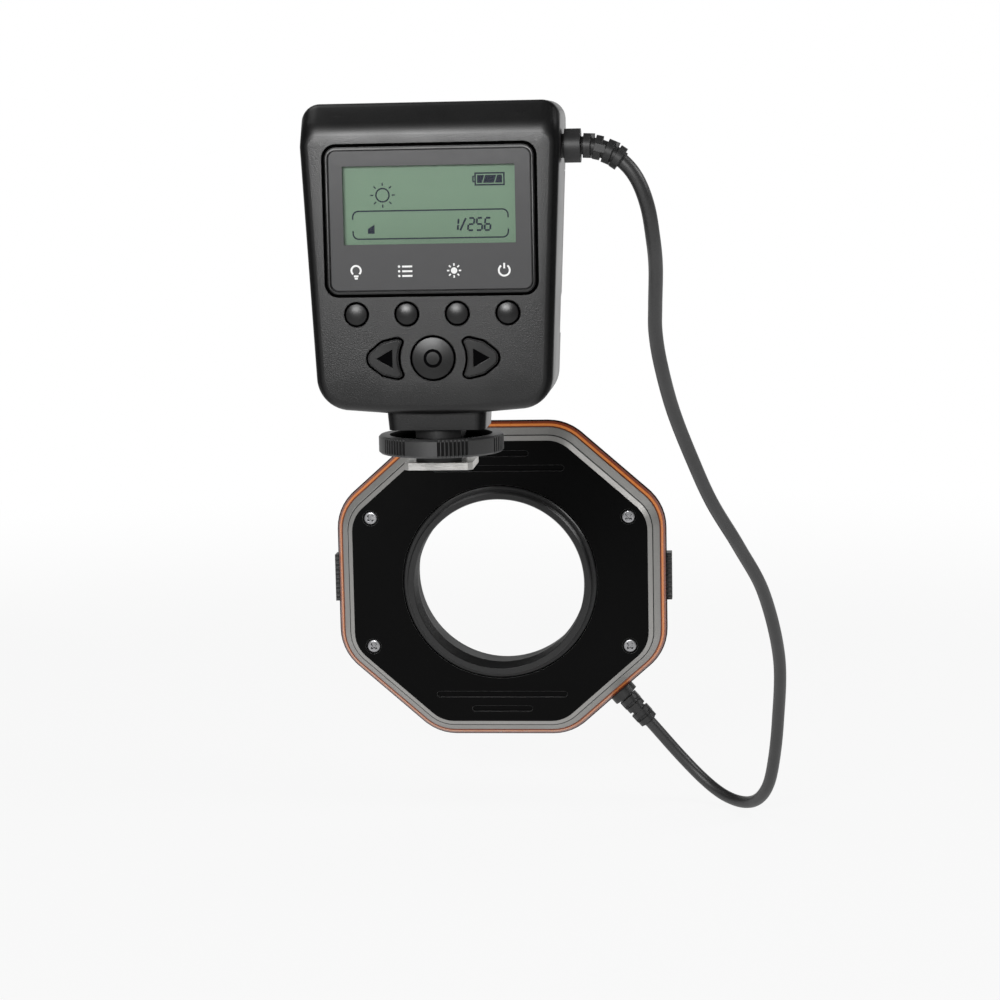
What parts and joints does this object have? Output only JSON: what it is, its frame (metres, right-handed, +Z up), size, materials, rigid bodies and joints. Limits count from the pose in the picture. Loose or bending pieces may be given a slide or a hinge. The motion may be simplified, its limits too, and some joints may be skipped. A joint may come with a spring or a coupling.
{
  "type": "macro ring light",
  "caption": "Macro ring light: a shoe-mounted controller with display, keys and battery door, joined by a cord to an eight-sided ring head that screws to a lens through a latched adapter.",
  "frame": {"origin": "centre of the shoe foot's underside", "axes": "+X right as the user sees the keys, +Y forward along the shoe and the lens axis to the subject, +Z up"},
  "size_m": [0.1526, 0.2, 0.236],
  "materials": {
    "case_plastic": "fine spark texture",
    "display_window": "smooth, printed behind round the picture",
    "lcd_glass": "smooth",
    "backlight_white": "smooth",
    "board_green": "coated",
    "switch_black": "moulded",
    "key_plastic": "fine satin",
    "screw_steel": "plated",
    "cell_wrap": "shrunk film, plain",
    "spring_steel": "plated",
    "post_alloy": "turned",
    "foot_steel": "ground",
    "contact_brass": "turned",
    "ring_plastic": "moulded, knurled",
    "relief_rubber": "moulded",
    "cord_rubber": "smooth sheath",
    "head_black": "fine spark texture",
    "head_grey": "satin",
    "trim_orange": "smooth",
    "window_clear": "clear",
    "led_board_white": "coated",
    "led_lens": "clear dome on a yellow chip",
    "adapter_black": "black anodised",
    "latch_plastic": "moulded"
  },
  "bodies": {
    "body": {"panel_shell": "case_plastic", "battery_shell": "case_plastic", "display_window": "display_window", "lcd_panel": "lcd_glass", "lcd_backlight": "backlight_white", "main_board": "board_green", "tact_switches": "switch_black", "case_screws": "screw_steel", "board_screws": "screw_steel", "battery_1": "cell_wrap", "battery_2": "cell_wrap", "battery_3": "cell_wrap", "battery_4": "cell_wrap", "battery_contacts": "spring_steel", "battery_springs": "spring_steel", "shoe_neck": "case_plastic", "neck_screws": "screw_steel", "threaded_post": "post_alloy", "shoe_foot": "foot_steel", "foot_screws": "screw_steel", "contact_insulator": "switch_black", "contact_spring": "spring_steel", "controller_strain_relief": "relief_rubber", "cord": "cord_rubber", "head_strain_relief": "relief_rubber", "head_back_cover": "head_black", "head_housing": "head_grey", "trim_band": "trim_orange", "head_front_bezel": "head_black", "front_window": "window_clear", "led_board": "led_board_white", "led_array": "led_lens", "latch_spring_left": "spring_steel", "latch_spring_right": "spring_steel", "head_screws": "screw_steel"},
    "lamp_key": {"lamp_key": "key_plastic"},
    "mode_key": {"mode_key": "key_plastic"},
    "level_key": {"level_key": "key_plastic"},
    "power_key": {"power_key": "key_plastic"},
    "set_key": {"set_key": "key_plastic"},
    "left_key": {"left_key": "key_plastic"},
    "right_key": {"right_key": "key_plastic"},
    "battery_door": {"battery_door": "case_plastic"},
    "pressure_plate": {"pressure_plate": "foot_steel"},
    "lock_ring": {"lock_ring": "ring_plastic"},
    "contact_pin": {"contact_pin": "contact_brass"},
    "release_latch_left": {"release_latch_left": "latch_plastic"},
    "release_latch_right": {"release_latch_right": "latch_plastic"},
    "lens_adapter": {"lens_adapter": "adapter_black"}
  },
  "joints": [
    {"name": "lamp_key_press", "type": "slide", "parent": "body", "child": "lamp_key", "axis": [0, 1, 0], "range_m": [0, 0.0005], "stiffness_N_per_m": 600},
    {"name": "mode_key_press", "type": "slide", "parent": "body", "child": "mode_key", "axis": [0, 1, 0], "range_m": [0, 0.0005], "stiffness_N_per_m": 600},
    {"name": "level_key_press", "type": "slide", "parent": "body", "child": "level_key", "axis": [0, 1, 0], "range_m": [0, 0.0005], "stiffness_N_per_m": 600},
    {"name": "power_key_press", "type": "slide", "parent": "body", "child": "power_key", "axis": [0, 1, 0], "range_m": [0, 0.0005], "stiffness_N_per_m": 600},
    {"name": "set_key_press", "type": "slide", "parent": "body", "child": "set_key", "axis": [0, 1, 0], "range_m": [0, 0.0005], "stiffness_N_per_m": 600},
    {"name": "left_key_press", "type": "slide", "parent": "body", "child": "left_key", "axis": [0, 1, 0], "range_m": [0, 0.0005], "stiffness_N_per_m": 600},
    {"name": "right_key_press", "type": "slide", "parent": "body", "child": "right_key", "axis": [0, 1, 0], "range_m": [0, 0.0005], "stiffness_N_per_m": 600},
    {"name": "door_slide", "type": "slide", "parent": "body", "child": "battery_door", "axis": [0, 0, -1], "range_m": [0, 0.0045]},
    {"name": "ring_turn", "type": "hinge", "parent": "pressure_plate", "child": "lock_ring", "pos_m": [0, 0, 0.0066], "axis": [0, 0, 1], "range_deg": [-180, 540]},
    {"name": "plate_lift", "type": "slide", "parent": "body", "child": "pressure_plate", "axis": [0, 0, 1], "range_m": [-0.0005, 0.0015]},
    {"name": "contact_press", "type": "slide", "parent": "body", "child": "contact_pin", "axis": [0, 0, 1], "range_m": [0, 0.0008], "stiffness_N_per_m": 300, "deforming": ["contact_spring"]},
    {"name": "latch_left_press", "type": "slide", "parent": "body", "child": "release_latch_left", "axis": [1, 0, 0], "range_m": [0, 0.0016], "stiffness_N_per_m": 400, "deforming": ["latch_spring_left"]},
    {"name": "latch_right_press", "type": "slide", "parent": "body", "child": "release_latch_right", "axis": [-1, 0, 0], "range_m": [0, 0.0016], "stiffness_N_per_m": 400, "deforming": ["latch_spring_right"]},
    {"name": "adapter_turn", "type": "hinge", "parent": "body", "child": "lens_adapter", "pos_m": [0, 0.16, -0.06], "axis": [0, 1, 0], "continuous": true}
  ],
  "couplings": [
    {"joint": "plate_lift", "follows": "ring_turn", "m_per_rad": 0.000159}
  ]
}
